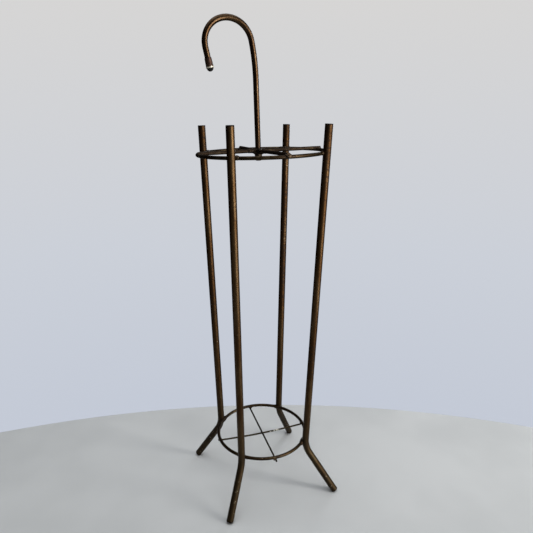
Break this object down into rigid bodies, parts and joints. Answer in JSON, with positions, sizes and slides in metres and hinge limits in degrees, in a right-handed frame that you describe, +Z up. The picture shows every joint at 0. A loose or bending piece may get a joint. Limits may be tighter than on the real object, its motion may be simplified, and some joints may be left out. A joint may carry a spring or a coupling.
{
  "type": "umbrella stand",
  "caption": "Free-standing brass umbrella stand with flared tube legs, two rod rings, crossed spokes and a tall crook shaped like an umbrella handle.",
  "frame": {"origin": "on the floor, midway between the four feet", "axes": "+Z up; the legs stand at 45 degrees to X and Y; the crook hooks over towards -X"},
  "size_m": [0.1979, 0.1914, 0.723],
  "materials": {
    "tube_brass": "aged brown patina over brass tube, worn along the edges",
    "rod_brass": "aged brown patina over brass rod and wire",
    "braze": "lumpy oxidised braze",
    "plug_brass": "dark oxidised end plugs",
    "ferrule_brass": "dark patina, bright worn rim",
    "tip_dark": "dark domed tip, satin"
  },
  "bodies": {
    "root": {"leg_back_right": "tube_brass", "leg_back_left": "tube_brass", "leg_front_left": "tube_brass", "leg_front_right": "tube_brass", "top_plug_back_right": "plug_brass", "top_plug_back_left": "plug_brass", "top_plug_front_left": "plug_brass", "top_plug_front_right": "plug_brass", "foot_plug_back_right": "plug_brass", "foot_plug_back_left": "plug_brass", "foot_plug_front_left": "plug_brass", "foot_plug_front_right": "plug_brass", "top_ring": "rod_brass", "lower_ring": "rod_brass", "spoke_right": "rod_brass", "spoke_back": "rod_brass", "spoke_left": "rod_brass", "spoke_front": "rod_brass", "crook_tube": "tube_brass", "crook_stem_plug": "plug_brass", "crook_ferrule": "ferrule_brass", "crook_tip": "tip_dark", "wire_front_back": "rod_brass", "wire_left_right": "rod_brass", "top_ring_braze": "braze", "lower_ring_braze": "braze", "spoke_braze": "braze", "wire_braze": "braze", "hub_braze": "braze"}
  },
  "joints": []
}
